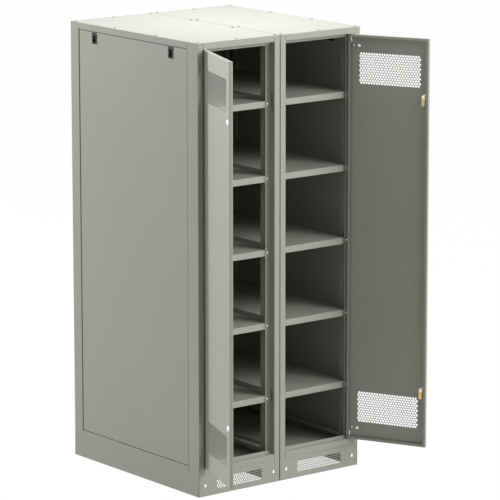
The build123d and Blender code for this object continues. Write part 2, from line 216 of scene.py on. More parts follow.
def grainGroup():
    # height of a fine grain laid over a coarser one
    group, inside, outside = newGroup(
        "fineGrain",
        (("Vector", "NodeSocketVector", None), ("Fine Scale", "NodeSocketFloat", 700.0),
         ("Coarse Scale", "NodeSocketFloat", 160.0), ("Coarse Share", "NodeSocketFloat", 0.5)),
        (("Height", "NodeSocketFloat"),),
    )
    fine = group.nodes.new("ShaderNodeTexNoise")
    coarse = group.nodes.new("ShaderNodeTexNoise")
    for noise, label in ((fine, "Fine Scale"), (coarse, "Coarse Scale")):
        noise.inputs["Detail"].default_value = 2
        wire(group, inside, "Vector", noise, "Vector")
        wire(group, inside, label, noise, "Scale")
    mixed = group.nodes.new("ShaderNodeMath")
    mixed.operation = "MULTIPLY_ADD"
    wire(group, coarse, "Fac", mixed, 0)
    wire(group, inside, "Coarse Share", mixed, 1)
    wire(group, fine, "Fac", mixed, 2)
    wire(group, mixed, "Value", outside, "Height")
    return group


def wearGroup():
    # handling marks: thin scratches and rubbed patches, as a mask
    group, inside, outside = newGroup(
        "rubbedMask",
        (("Vector", "NodeSocketVector", None), ("Scale", "NodeSocketFloat", 40.0),
         ("Amount", "NodeSocketFloat", 0.3)),
        (("Mask", "NodeSocketFloat"),),
    )
    noise = group.nodes.new("ShaderNodeTexNoise")
    noise.inputs["Detail"].default_value = 6
    noise.inputs["Roughness"].default_value = 0.7
    wire(group, inside, "Vector", noise, "Vector")
    wire(group, inside, "Scale", noise, "Scale")
    ramp = group.nodes.new("ShaderNodeMapRange")
    ramp.inputs["From Min"].default_value = 0.45
    ramp.inputs["From Max"].default_value = 0.75
    wire(group, noise, "Fac", ramp, "Value")
    scaled = group.nodes.new("ShaderNodeMath")
    scaled.operation = "MULTIPLY"
    wire(group, ramp, "Result", scaled, 0)
    wire(group, inside, "Amount", scaled, 1)
    wire(group, scaled, "Value", outside, "Mask")
    return group


coatTint = tintGroup()
fineGrain = grainGroup()
rubbedMask = wearGroup()


def useGroup(tree, group, vector, **values):
    node = tree.nodes.new("ShaderNodeGroup")
    node.node_tree = group
    tree.links.new(vector, node.inputs["Vector"])
    for label, value in values.items():
        node.inputs[label.replace("_", " ")].default_value = value
    return node


def newFinish(name, roughness, metallic=0.0):
    material = bpy.data.materials.new(name)
    material.use_nodes = True
    tree = material.node_tree
    shader = tree.nodes["Principled BSDF"]
    shader.inputs["Metallic"].default_value = metallic
    shader.inputs["Roughness"].default_value = roughness
    place = tree.nodes.new("ShaderNodeTexCoord")
    return material, tree, shader, place.outputs["Object"]


def addGrain(tree, shader, vector, strength, distance, **values):
    grain = useGroup(tree, fineGrain, vector, **values)
    bump = tree.nodes.new("ShaderNodeBump")
    bump.inputs["Strength"].default_value = strength
    bump.inputs["Distance"].default_value = distance
    wire(tree, grain, "Height", bump, "Height")
    wire(tree, bump, "Normal", shader, "Normal")


def addTint(tree, shader, vector, colour, **values):
    tint = useGroup(tree, coatTint, vector, Colour=(*colour, 1), **values)
    wire(tree, tint, "Colour", shader, "Base Color")


def addWear(tree, shader, vector, roughness, scale, amount):
    rubbed = useGroup(tree, rubbedMask, vector, Scale=scale, Amount=amount)
    total = tree.nodes.new("ShaderNodeMath")
    total.operation = "ADD"
    total.inputs[1].default_value = roughness
    wire(tree, rubbed, "Mask", total, 0)
    wire(tree, total, "Value", shader, "Roughness")


def powderCoat():
    material, tree, shader, vector = newFinish("powderCoat", 0.5)
    look = {"colour": (0.355, 0.358, 0.306), "roughness": 0.42}
    addTint(tree, shader, vector, look["colour"],
            Cloud_Scale=2.5, Cloud_Amount=0.05, Speck_Scale=1400.0, Speck_Amount=0.05)
    addGrain(tree, shader, vector, 0.10, 0.0003, Fine_Scale=1100.0, Coarse_Scale=260.0, Coarse_Share=0.6)
    addWear(tree, shader, vector, look["roughness"], 9.0, 0.12)
    return material


def zincPlate():
    material, tree, shader, vector = newFinish("zincPlate", 0.25, 1.0)
    addTint(tree, shader, vector, (0.76, 0.76, 0.77),
            Cloud_Scale=120.0, Cloud_Amount=0.12, Speck_Scale=2500.0, Speck_Amount=0.08)
    addGrain(tree, shader, vector, 0.15, 0.0001, Fine_Scale=3000.0, Coarse_Scale=700.0, Coarse_Share=0.3)
    addWear(tree, shader, vector, 0.2, 300.0, 0.25)
    return material


# painted shade: the shelf screws' zinc darkened for the roof screws, so their heads look shaded instead of catching
# the roof lamp's highlight
def darkZincPlate():
    material, tree, shader, vector = newFinish("darkZincPlate", 0.5, 0.6)
    addTint(tree, shader, vector, (0.16, 0.16, 0.155),
            Cloud_Scale=120.0, Cloud_Amount=0.12, Speck_Scale=2500.0, Speck_Amount=0.08)
    addWear(tree, shader, vector, 0.45, 300.0, 0.2)
    return material


def chromePlate():
    material, tree, shader, vector = newFinish("chromePlate", 0.12, 1.0)
    addTint(tree, shader, vector, (0.86, 0.86, 0.87),
            Cloud_Scale=150.0, Cloud_Amount=0.04, Speck_Scale=2500.0, Speck_Amount=0.03)
    addWear(tree, shader, vector, 0.08, 350.0, 0.18)
    return material


def brassPlate():
    material, tree, shader, vector = newFinish("yellowZinc", 0.3, 1.0)
    addTint(tree, shader, vector, (0.74, 0.52, 0.20),
            Cloud_Scale=160.0, Cloud_Amount=0.25, Speck_Scale=2500.0, Speck_Amount=0.1)
    addGrain(tree, shader, vector, 0.2, 0.0001, Fine_Scale=2500.0, Coarse_Scale=600.0, Coarse_Share=0.4)
    addWear(tree, shader, vector, 0.25, 250.0, 0.3)
    return material


def blackPlastic():
    material, tree, shader, vector = newFinish("blackNylon", 0.7)
    shader.inputs["Specular IOR Level"].default_value = 0.25
    addTint(tree, shader, vector, (0.018, 0.018, 0.018),
            Cloud_Scale=60.0, Cloud_Amount=0.2, Speck_Scale=2000.0, Speck_Amount=0.2)
    addGrain(tree, shader, vector, 0.3, 0.0002, Fine_Scale=2200.0, Coarse_Scale=800.0, Coarse_Share=0.5)
    addWear(tree, shader, vector, 0.6, 120.0, 0.2)
    return material


finishes = {
    "coat": powderCoat(), "zinc": zincPlate(), "darkZinc": darkZincPlate(), "chrome": chromePlate(),
    "brass": brassPlate(), "black": blackPlastic(),
}
print("finishes made:", len(finishes))


# where things are, read from the frame

def nodeBox(name):
    low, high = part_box(name)
    return Vector(low), Vector(high)


panelLow, panelHigh = nodeBox("right_front_outer_post")
postX = panelHigh.x                       # outer face of the right-hand bay
frontY = panelLow.y                       # front plane
seamX = nodeBox("right_front_inner_post")[0].x
postBottom, postTop = panelLow.z, panelHigh.z
hingeJoints = {joint["child"]: joint for joint in frame["joints"]
               if joint["name"].endswith("door_hinge")}
openingLow, openingHigh = (corner.x for corner in nodeBox("right_head_rail"))


# sheet-metal building blocks

holeSides = 12


def punchedCell(name, targets, holeRadius, turn=0.0):
    # one flat cell in the XZ plane facing the front: a round hole face inside a ring out to the targets
    bpy.ops.mesh.primitive_circle_add(vertices=len(targets), radius=holeRadius, fill_type="NGON",
                                      rotation=(pi / 2, 0, 0))
    cell = bpy.context.object
    cell.name = cell.data.name = name
    settle(cell)
    cell.data.transform(Matrix.Rotation(turn, 4, "Y"))
    editMode(selectAll=True)
    bpy.ops.mesh.extrude_edges_move()
    objectMode()
    corners = [Vector((x, 0, z)) for x, z in targets]
    for v in cell.data.vertices:
        if v.select:
            v.co = max(corners, key=lambda corner: corner.normalized().dot(v.co.normalized()))
    return cell


def repeat(piece, count, step):
    applyModifier(piece, "ARRAY", count=count, use_relative_offset=False, use_constant_offset=True,
                  constant_offset_displace=step, use_merge_vertices=True, merge_threshold=0.02 * mm)


def moveMesh(piece, x=0.0, y=0.0, z=0.0):
    piece.data.transform(Matrix.Translation((x, y, z)))


def ventLattice(name, middleX, middleZ, y, columns, rows, pitch, holeDiameter):
    # staggered round holes in touching hexagonal cells; the odd rows have one hole fewer
    cellRadius = pitch / sqrt(3)
    targets = []
    for step in range(holeSides):
        angle = radians(90 + 360 / holeSides * step)
        reach = cellRadius if step % 2 == 0 else cellRadius * cos(pi / 6)
        targets.append((reach * cos(angle), reach * sin(angle)))
    rowPitch = pitch * sqrt(3) / 2
    fields = []
    for first, count in ((0, columns - 1), (1, columns)):
        rowCount = (rows - first + 1) // 2
        cell = punchedCell(name, targets, holeDiameter / 2)
        repeat(cell, count, (pitch, 0, 0))
        repeat(cell, rowCount, (0, 0, -2 * rowPitch))
        moveMesh(cell, middleX - (count - 1) * pitch / 2, y, middleZ + ((rows - 1) / 2 - first) * rowPitch)
        fields.append(cell)
    lattice = joined(fields, name)
    mergeDoubles(lattice)
    return lattice


def ventedFace(name, low, high, y, vents):
    # flat rectangle between two corners (x, z), filled round the vents' ragged edges
    bpy.ops.mesh.primitive_plane_add(size=1, rotation=(pi / 2, 0, 0))
    border = bpy.context.object
    border.scale = (high[0] - low[0], high[1] - low[1], 1)
    border.location = ((low[0] + high[0]) / 2, y, (low[1] + high[1]) / 2)
    settle(border)
    if vents:
        editMode(selectAll=True)
        bpy.ops.mesh.delete(type="ONLY_FACE")
        objectMode()
    face = joined([border] + vents, name)
    if vents:
        editMode()
        bpy.ops.mesh.select_mode(type="EDGE")
        bpy.ops.mesh.select_non_manifold(use_wire=True, use_boundary=True, use_multi_face=False,
                                         use_non_contiguous=False, use_verts=False)
        bpy.ops.mesh.fill(use_beauty=True)
        objectMode()
    return face


def faceForward(piece):
    # one side of the sheet out, towards the front
    editMode(selectAll=True)
    bpy.ops.mesh.normals_make_consistent(inside=False)
    objectMode()
    flat = [p for p in piece.data.polygons if abs(p.normal.y) > 0.9]
    biggest = max(flat, key=lambda p: p.area)
    if biggest.normal.y > 0:
        piece.data.flip_normals()


def openHoles(piece, sides=holeSides):
    makeActive(piece)
    editMode()
    bpy.ops.mesh.select_mode(type="FACE")
    bpy.ops.mesh.select_face_by_sides(number=sides, type="EQUAL", extend=False)
    bpy.ops.mesh.delete(type="FACE")
    objectMode()


def roundFolds(piece, radius, segments=2):
    makeActive(piece)
    editMode()
    bpy.ops.mesh.select_mode(type="EDGE")
    bpy.ops.mesh.edges_select_sharp(sharpness=radians(60))
    bpy.ops.mesh.bevel(offset=radius, segments=segments, affect="EDGES")
    bpy.ops.mesh.faces_shade_smooth()
    objectMode()


def thicken(piece, steel):
    applyModifier(piece, "SOLIDIFY", thickness=steel, offset=-1, use_even_offset=False)


def softenEdges(piece, width, segments=2, angle=40):
    applyModifier(piece, "BEVEL", width=width, segments=segments, limit_method="ANGLE", angle_limit=radians(angle),
                  harden_normals=False)


def cutWith(piece, cutter):
    applyModifier(piece, "BOOLEAN", operation="DIFFERENCE", solver="EXACT", object=cutter)
    bpy.data.objects.remove(cutter)


def turned(name, rings, sides=20):
    # round piece along +Z from its first (radius, height) to its last
    bpy.ops.mesh.primitive_circle_add(vertices=sides, radius=rings[0][0], location=(0, 0, rings[0][1]),
                                      fill_type="NGON")
    piece = bpy.context.object
    piece.name = piece.data.name = name
    settle(piece)
    editMode(selectAll=True)
    for (radiusBefore, heightBefore), (radius, height) in zip(rings, rings[1:]):
        bpy.ops.mesh.extrude_region_move(TRANSFORM_OT_translate={"value": (0, 0, height - heightBefore)})
        share = radius / radiusBefore
        bpy.ops.transform.resize(value=(share, share, 1), center_override=(0, 0, height))
    bpy.ops.mesh.select_all(action="SELECT")
    bpy.ops.mesh.normals_make_consistent(inside=False)
    objectMode()
    return piece


def boxShape(name, low, high):
    bpy.ops.mesh.primitive_cube_add(size=1)
    piece = bpy.context.object
    piece.name = piece.data.name = name
    piece.scale = [b - a for a, b in zip(low, high)]
    piece.location = [(a + b) / 2 for a, b in zip(low, high)]
    settle(piece)
    return piece


# corner posts with both rows of round holes

postSheet = {
    "face": 29 * mm, "returnDepth": 35 * mm, "flange": 23 * mm, "frontSide": 75 * mm, "rearSide": 62 * mm,
    "rebate": 28.5 * mm, "hem": 4 * mm, "steel": 1.5 * mm, "foldRadius": 1.6 * mm, "holePitch": 30 * mm,
    "holeDiameter": 8.0 * mm, "holeFromFold": 12 * mm, "holeCount": 60, "firstHoleBelowTop": 62 * mm,
    "slotWidth": 9 * mm, "slotHeight": 72 * mm, "slotPlane": 18.5 * mm,
}


def holedStrip(name, width, holeFromLow):
    # upright strip with its low edge at x = 0 and its rows of holes down from the post's top
    half = postSheet["holePitch"] / 2
    low, high = -holeFromLow, width - holeFromLow
    corners = [(high, half), (low, half), (low, -half), (high, -half)]
    targets = []
    for (x1, z1), (x2, z2) in zip(corners, corners[1:] + corners[:1]):
        targets += [(x1 + (x2 - x1) * share / 3, z1 + (z2 - z1) * share / 3) for share in range(3)]
    strip = punchedCell(name, targets, postSheet["holeDiameter"] / 2, turn=radians(45))
    repeat(strip, postSheet["holeCount"], (0, 0, -postSheet["holePitch"]))
    moveMesh(strip, holeFromLow, 0, postTop - postSheet["firstHoleBelowTop"])
    mergeDoubles(strip)
    return strip


def buildPost(name, sideDepth):
    # outer corner at the origin, opening towards -X, inside of the cabinet towards +Y
    sizes = postSheet
    foldX, flangeX = -sizes["face"], -sizes["face"] - sizes["flange"]
    frontStrip = holedStrip(name, sizes["flange"], sizes["flange"] - sizes["holeFromFold"])
    moveMesh(frontStrip, flangeX, sizes["returnDepth"])
    sideStrip = holedStrip(name + "Side", sizes["flange"], sizes["holeFromFold"])
    sideStrip.data.transform(Matrix.Rotation(pi / 2, 4, "Z"))
    moveMesh(sideStrip, -sizes["rebate"], sideDepth)
    makeActive(frontStrip)
    close = 0.1 * mm
    pickVerts(frontStrip, lambda co: abs(co.x - foldX) < close)
    for step in ((0, -sizes["returnDepth"], 0), (sizes["face"], 0, 0), (0, sideDepth, 0),
                 (-sizes["rebate"], 0, 0)):
        bpy.ops.mesh.extrude_region_move(TRANSFORM_OT_translate={"value": step})
    objectMode()
    pickVerts(frontStrip, lambda co: abs(co.x - flangeX) < close)
    bpy.ops.mesh.extrude_region_move(TRANSFORM_OT_translate={"value": (0, sizes["hem"], 0)})
    objectMode()
    post = joined([frontStrip, sideStrip], name)
    mergeDoubles(post)
    heights = [v.co.z for v in post.data.vertices]
    for level, goal in ((max(heights), postTop), (min(heights), postBottom)):
        pickVerts(post, lambda co: abs(co.z - level) < close)
        bpy.ops.mesh.extrude_region_move(TRANSFORM_OT_translate={"value": (0, 0, goal - level)})
        objectMode()
    faceForward(post)
    roundFolds(post, sizes["foldRadius"])
    openHoles(post)
    thicken(post, sizes["steel"])
    return post


def cutStrikeSlots(post, heights):
    sizes = postSheet
    for z in heights:
        x, y = -sizes["face"], sizes["slotPlane"]
        slot = boxShape("slot", (x - 5 * mm, y - sizes["slotWidth"] / 2, z - sizes["slotHeight"] / 2),
                        (x + 5 * mm, y + sizes["slotWidth"] / 2, z + sizes["slotHeight"] / 2))
        cutWith(post, slot)


lockHeights = [joint["pos_m"][2] for joint in frame["joints"]
               if joint["name"].startswith("right") and "lock" in joint["name"]]
frontPost = buildPost("frontPost", postSheet["frontSide"])
rearPost = buildPost("rearPost", postSheet["rearSide"])
strikePost = copied(frontPost, "strikePost")
cutStrikeSlots(strikePost, lockHeights)
for master in (frontPost, rearPost, strikePost):
    dress(master, finishes["coat"])
for sideName in sideNames:
    sideTurn = Matrix.Identity(4) if sideName == "right" else mirrorX
    for depthName, depthTurn in (("front", Matrix.Identity(4)), ("rear", mirrorY)):
        for placeName, x, across in (("outer", postX, Matrix.Identity(4)), ("inner", seamX, mirrorX)):
            master = rearPost if depthName == "rear" else (strikePost if placeName == "inner" else frontPost)
            place = sideTurn @ depthTurn @ Matrix.Translation((x, frontY, 0)) @ across
            post = copied(master, f"{sideName}{depthName.title()}{placeName.title()}Post", place)
            hand(post, "frame", "powder_coat", f"{sideName}_{depthName}_{placeName}_post")
for master in (frontPost, rearPost, strikePost):
    bpy.data.objects.remove(master)
print("posts folded and punched")


# doors, drawn closed on the right-hand bay and swung to their stored angle

doorSheet = {
    "gap": 2 * mm, "thickness": 16 * mm, "lip": 12 * mm, "steel": 1.0 * mm, "foldRadius": 1.6 * mm,
    "ventPitch": 12.5 * mm, "ventColumns": 24, "ventRows": 13, "holeDiameter": 10.8 * mm,
    "ventFromEnd": 150.5 * mm, "ventShift": 2 * mm, "lockInset": 24 * mm,
}
doorLow = (openingLow + doorSheet["gap"], nodeBox("right_door")[0].z)
doorHigh = (openingHigh - doorSheet["gap"], nodeBox("right_door")[1].z)
lockX = doorLow[0] + doorSheet["lockInset"]


def swungOpen(sideName):
    # from the closed right-hand place to this side's stored place
    joint = hingeJoints[f"{sideName}_door"]
    pivot = Vector((abs(joint["pos_m"][0]), joint["pos_m"][1], 0))
    angle = -radians(joint["range_deg"][0])
    turn = Matrix.Translation(pivot) @ Matrix.Rotation(angle, 4, "Z") @ Matrix.Translation(-pivot)
    return turn if sideName == "right" else mirrorX @ turn


def buildDoor():
    sizes = doorSheet
    middleX = (doorLow[0] + doorHigh[0]) / 2 - sizes["ventShift"]
    vents = [
        ventLattice("doorVent", middleX, z, frontY, sizes["ventColumns"], sizes["ventRows"], sizes["ventPitch"],
                    sizes["holeDiameter"])
        for z in (doorHigh[1] - sizes["ventFromEnd"], doorLow[1] + sizes["ventFromEnd"])
    ]
    door = ventedFace("door", doorLow, doorHigh, frontY, vents)
    close = 0.1 * mm
    pickVerts(door, lambda co: min(abs(co.x - doorLow[0]), abs(co.x - doorHigh[0]), abs(co.z - doorLow[1]),
                                   abs(co.z - doorHigh[1])) < close)
    bpy.ops.mesh.extrude_region_move(TRANSFORM_OT_translate={"value": (0, sizes["thickness"], 0)})
    bpy.ops.mesh.extrude_region_move()
    width, height = doorHigh[0] - doorLow[0], doorHigh[1] - doorLow[1]
    middle = ((doorLow[0] + doorHigh[0]) / 2, frontY + sizes["thickness"], (doorLow[1] + doorHigh[1]) / 2)
    bpy.ops.transform.resize(value=((width - 2 * sizes["lip"]) / width, 1, (height - 2 * sizes["lip"]) / height),
                             center_override=middle)
    objectMode()
    faceForward(door)
    roundFolds(door, sizes["foldRadius"])
    openHoles(door)
    thicken(door, sizes["steel"])
    dress(door, finishes["coat"])
    return door


closedDoor = buildDoor()
for sideName in sideNames:
    door = copied(closedDoor, f"{sideName}DoorPanel", swungOpen(sideName))
    hand(door, f"{sideName}_door", "powder_coat", f"{sideName}_door")
bpy.data.objects.remove(closedDoor)
print("doors folded and punched")


# plinth fronts

plinthSheet = {
    "flange": 30 * mm, "steel": 2 * mm, "foldRadius": 1.8 * mm, "ventPitch": 11.6 * mm, "ventColumns": 22,
    "ventRows": 5, "holeDiameter": 9.4 * mm, "ventHeight": 49.5 * mm, "seam": 1.1 * mm,
}


def buildPlinthFront():
    sizes = plinthSheet
    low, high = nodeBox("right_plinth_front")
    vent = ventLattice("plinthVent", (low.x + high.x) / 2, sizes["ventHeight"], frontY, sizes["ventColumns"],
                       sizes["ventRows"], sizes["ventPitch"], sizes["holeDiameter"])
    top = high.z - sizes["seam"]
    panel = ventedFace("plinthFront", (low.x, low.z), (high.x, top), frontY, [vent])
    close = 0.1 * mm
    pickVerts(panel, lambda co: min(abs(co.z - low.z), abs(co.z - top)) < close)
    bpy.ops.mesh.extrude_region_move(TRANSFORM_OT_translate={"value": (0, sizes["flange"] - 2 * mm, 0)})
    objectMode()
    faceForward(panel)
    roundFolds(panel, sizes["foldRadius"])
    openHoles(panel)
    thicken(panel, sizes["steel"])
    dress(panel, finishes["coat"])
    return panel


plinthFront = buildPlinthFront()
for sideName in sideNames:
    panel = copied(plinthFront, f"{sideName}PlinthFront",
                   mirrorX if sideName == "left" else Matrix.Identity(4))
    hand(panel, "frame", "powder_coat", f"{sideName}_plinth_front")
bpy.data.objects.remove(plinthFront)
print("plinth fronts folded and punched")


# the other sheet parts: the frame's solids with their folds and edges softened

def softened(node, name, width, material, slot, body="frame"):
    piece = copied(nodes[node], name)
    mergeDoubles(piece, 0.02 * mm)
    editMode(selectAll=True)
    bpy.ops.mesh.dissolve_limited(angle_limit=radians(1))
    objectMode()
    softenEdges(piece, width)
    smoothByAngle(piece)
    keepFlats(piece)
    dress(piece, material)
    hand(piece, body, slot, node)
    return piece


sheetEdges = {"softness": 0.5 * mm, "seam": 1.1 * mm, "endReach": 4 * mm}


def sheetPart(sideName, part, seamAxis=None):
    # seamAxis is the direction in which the part ends against its neighbours, with a fine open seam
    name = sideName + part.title().replace("_", "")
    piece = softened(f"{sideName}_{part}", name, sheetEdges["softness"], finishes["coat"], "powder_coat")
    if seamAxis is not None:
        openSeam(piece, seamAxis)
    return piece


def openSeam(piece, axis):
    # draws both end faces back by the seam's width, so a dark line shows beside the posts
    values = [v.co[axis] for v in piece.data.vertices]
    low, high = min(values), max(values)
    near = sheetEdges["endReach"]
    for v in piece.data.vertices:
        if v.co[axis] < low + near:
            v.co[axis] += sheetEdges["seam"]
        elif v.co[axis] > high - near:
            v.co[axis] -= sheetEdges["seam"]


for sideName in sideNames:
    for part, seamAxis in (("head_rail", 0), ("sill", 0), ("top_rails", 1), ("bottom_rails", 1),
                           ("side_panel", 1)):
        sheetPart(sideName, part, seamAxis)
    for part in ("floor", "plinth_frame", "roof", "rear_panel",
                 *[f"shelf_{number}" for number in range(1, 6)]):
        sheetPart(sideName, part)
print("rails, shelves and panels softened")


# screws, bolts, locks and latches

def cutCross(piece, width, length, depth, top):
    for spanX, spanY in ((length, width), (width, length)):
        arm = boxShape("arm", (-spanX / 2, -spanY / 2, top - depth), (spanX / 2, spanY / 2, top + depth))
        cutWith(piece, arm)


def domeScrew(name, head, height, shank, length, socket):
    # along -Z under a domed head that stands on Z = 0
    r = head / 2
    rings = [(shank / 2, -length), (shank / 2, 0), (r, 0.02 * height), (r, 0.22 * height), (0.93 * r, 0.52 * height),
             (0.74 * r, 0.82 * height), (0.45 * r, 0.97 * height)]
    if socket == "hex":
        rings += [(0.45 * r, 0.4 * height)]
    screw = turned(name, rings, sides=16)
    if socket == "cross":
        cutCross(screw, 0.16 * head, 0.55 * head, 0.45 * height, height)
    smoothByAngle(screw)
    return screw


def islandBoxes(nodeName):
    # corners of every separate solid in a node
    source = copied(nodes[nodeName], "island")
    mergeDoubles(source, 0.02 * mm)
    makeActive(source)
    bpy.ops.mesh.separate(type="LOOSE")
    islands = list(bpy.context.selected_objects)
    boxes = []
    for island in islands:
        corners = [[v.co[axis] for v in island.data.vertices] for axis in range(3)]
        boxes.append((Vector([min(c) for c in corners]), Vector([max(c) for c in corners])))
        bpy.data.objects.remove(island)
    return boxes


screwStyles = {
    # node: (head, head height, length, socket, finish)
    # the roof screws take the zinc with painted shade
    "roof_screws": (11.5 * mm, 3.0 * mm, 7 * mm, "cross", "darkZinc"),
    "shelf_screws": (11.5 * mm, 3.0 * mm, 6 * mm, "cross", "zinc"),
    "plinth_bolts": (14 * mm, 3.0 * mm, 9 * mm, "hex", "zinc"),
}
outwards = {
    "up": Matrix.Identity(4), "front": Matrix.Rotation(pi / 2, 4, "X"),
    "back": Matrix.Rotation(-pi / 2, 4, "X"),
}
for nodeName, (head, height, length, socket, finish) in screwStyles.items():
    master = domeScrew(nodeName + "Master", head, height, 4.5 * mm, length, socket)
    dress(master, finishes[finish])
    copies = []
    for low, high in islandBoxes(nodeName):
        middle = (low + high) / 2
        if nodeName == "roof_screws":
            way, seat = "up", Vector((middle.x, middle.y, high.z - height))
        elif middle.y < 0:
            way, seat = "front", Vector((middle.x, low.y + height, middle.z))
        else:
            way, seat = "back", Vector((middle.x, high.y - height, middle.z))
        copies.append(copied(master, nodeName + "Copy", Matrix.Translation(seat) @ outwards[way]))
    screws = joined(copies, nodeName.title().replace("_", ""))
    hand(screws, "frame", "zinc", nodeName)
    bpy.data.objects.remove(master)
print("screws and bolts turned")

lockShape = {
    "dome": 13.5 * mm, "domeHeight": 5.0 * mm, "keyFace": 6.4 * mm, "body": 9.5 * mm, "nut": 12.5 * mm,
    "nutHeight": 3 * mm, "washer": 12.2 * mm, "keySlot": (1.8 * mm, 6.5 * mm),
}


def buildLock():
    # outwards along +Z from the door's front face at Z = 0
    sizes = lockShape
    r, h = sizes["dome"], sizes["domeHeight"]
    inside = -doorSheet["thickness"]
    dome = turned("lockDome", [
        (sizes["body"], inside), (sizes["body"], -0.2 * mm), (r, -0.1 * mm), (r, 0.18 * h), (0.96 * r, 0.42 * h),
        (0.85 * r, 0.68 * h), (0.68 * r, 0.88 * h), (sizes["keyFace"], h), (sizes["keyFace"] - 0.5 * mm, 1.07 * h),
    ], sides=32)
    slotWidth, slotLength = sizes["keySlot"]
    cutWith(dome, boxShape("slot", (-slotWidth / 2, -slotLength / 2, 0.8 * h),
                           (slotWidth / 2, slotLength / 2, 2 * h)))
    nutTop = -doorSheet["steel"] - 0.2 * mm
    nut = turned("lockNut", [
        (0.93 * sizes["nut"], nutTop - sizes["nutHeight"]), (sizes["nut"], nutTop - 0.8 * sizes["nutHeight"]),
        (sizes["nut"], nutTop),
    ], sides=6)
    lock = joined([dome, nut], "lock")
    smoothByAngle(lock, 30)
    dress(lock, finishes["chrome"])
    return lock


lock = buildLock()
faceOut = Matrix.Rotation(pi / 2, 4, "X")
for sideName in sideNames:
    locks = [
        copied(lock, "lockCopy", swungOpen(sideName) @ Matrix.Translation((lockX, frontY, z)) @ faceOut)
        for z in lockHeights
    ]
    hand(joined(locks, f"{sideName}Locks"), f"{sideName}_door", "zinc", f"{sideName}_lock_barrels")
    camScrew = domeScrew("camScrew", 12 * mm, 3.2 * mm, 5 * mm, 2 * mm, "hex")
    dress(camScrew, finishes["chrome"])
    camBack = frontY + doorSheet["thickness"] + 3.5 * mm
    for z, level in zip(lockHeights, ("upper", "lower")):
        inside = copied(camScrew, f"{sideName}{level.title()}CamScrew", swungOpen(sideName)
                        @ Matrix.Translation((lockX, camBack, z)) @ Matrix.Rotation(-pi / 2, 4, "X"))
        hand(inside, f"{sideName}_{level}_cam", "zinc")
        softened(f"{sideName}_{level}_cam", f"{sideName}{level.title()}Cam", fineEdge, finishes["brass"], "brass",
                 f"{sideName}_{level}_cam")
    bpy.data.objects.remove(camScrew)
    softened(f"{sideName}_hinge_pins", f"{sideName}HingePins", fineEdge, finishes["chrome"], "zinc",
             f"{sideName}_door")
    softened(f"{sideName}_hinge_bushes", f"{sideName}HingeBushes", 0.3 * mm, finishes["zinc"], "zinc")
bpy.data.objects.remove(lock)
softened("joining_bolts", "joiningBolts", fineEdge, finishes["zinc"], "zinc")
print("locks and hinges fitted")

earthStud = {"fromHinge": 48 * mm, "fromEnd": 51 * mm, "screwFromHinge": 21 * mm, "stud": 6 * mm, "length": 11 * mm,
             "nut": 10 * mm, "screw": 8 * mm}


def buildStud():
    # stands into the door tray along +Z, with a washer and a nut
    sizes = earthStud
    stud = turned("stud", [(sizes["stud"] / 2, 0), (sizes["stud"] / 2, sizes["length"] - 0.8 * mm),
                           (sizes["stud"] / 2 - 0.8 * mm, sizes["length"])], sides=16)
    nut = turned("studNut", [(0.65 * sizes["nut"], 0), (0.65 * sizes["nut"], 1 * mm), (sizes["nut"] / 2, 1.01 * mm),
                             (sizes["nut"] / 2, 5 * mm), (0.43 * sizes["nut"], 5.6 * mm)], sides=6)
    both = joined([stud, nut], "earthStud")
    smoothByAngle(both, 30)
    dress(both, finishes["chrome"])
    return both


stud = buildStud()
smallScrew = domeScrew("smallScrew", earthStud["screw"], 2.4 * mm, 4 * mm, 1 * mm, "cross")
dress(smallScrew, finishes["zinc"])
for sideName in sideNames:
    parts = []
    for z in (doorHigh[1] - earthStud["fromEnd"], doorLow[1] + earthStud["fromEnd"]):
        for piece, inset in ((stud, earthStud["fromHinge"]), (smallScrew, earthStud["screwFromHinge"])):
            seat = Matrix.Translation((doorHigh[0] - inset, frontY + doorSheet["steel"], z))
            parts.append(copied(piece, "studCopy", swungOpen(sideName) @ seat @ Matrix.Rotation(-pi / 2, 4, "X")))
    hand(joined(parts, f"{sideName}DoorStuds"), f"{sideName}_door", "zinc")
bpy.data.objects.remove(stud)
bpy.data.objects.remove(smallScrew)
print("earth studs fitted")

latchShape = {
    "ramp": 11 * mm, "rampToe": 0.6 * mm, "scoopFromTop": 8 * mm, "scoopDepth": 7 * mm, "scoopInset": 1.6 * mm,
    "wall": 2 * mm, "slider": 18.6 * mm, "bottomRim": 2.5 * mm, "topRim": 4.5 * mm, "faceRim": 1.2 * mm,
}


def rampIn(low, high):
    # sloping floor of a finger recess, between two corners; the slope faces up and outwards at the high X side
    ramp = boxShape("ramp", low, high)
    pickVerts(ramp, lambda co: co.x > high[0] - 0.1 * mm and co.z > high[2] - 0.1 * mm)
    bpy.ops.transform.translate(value=(0, 0, low[2] - high[2] + latchShape["rampToe"]))
    objectMode()
    return ramp


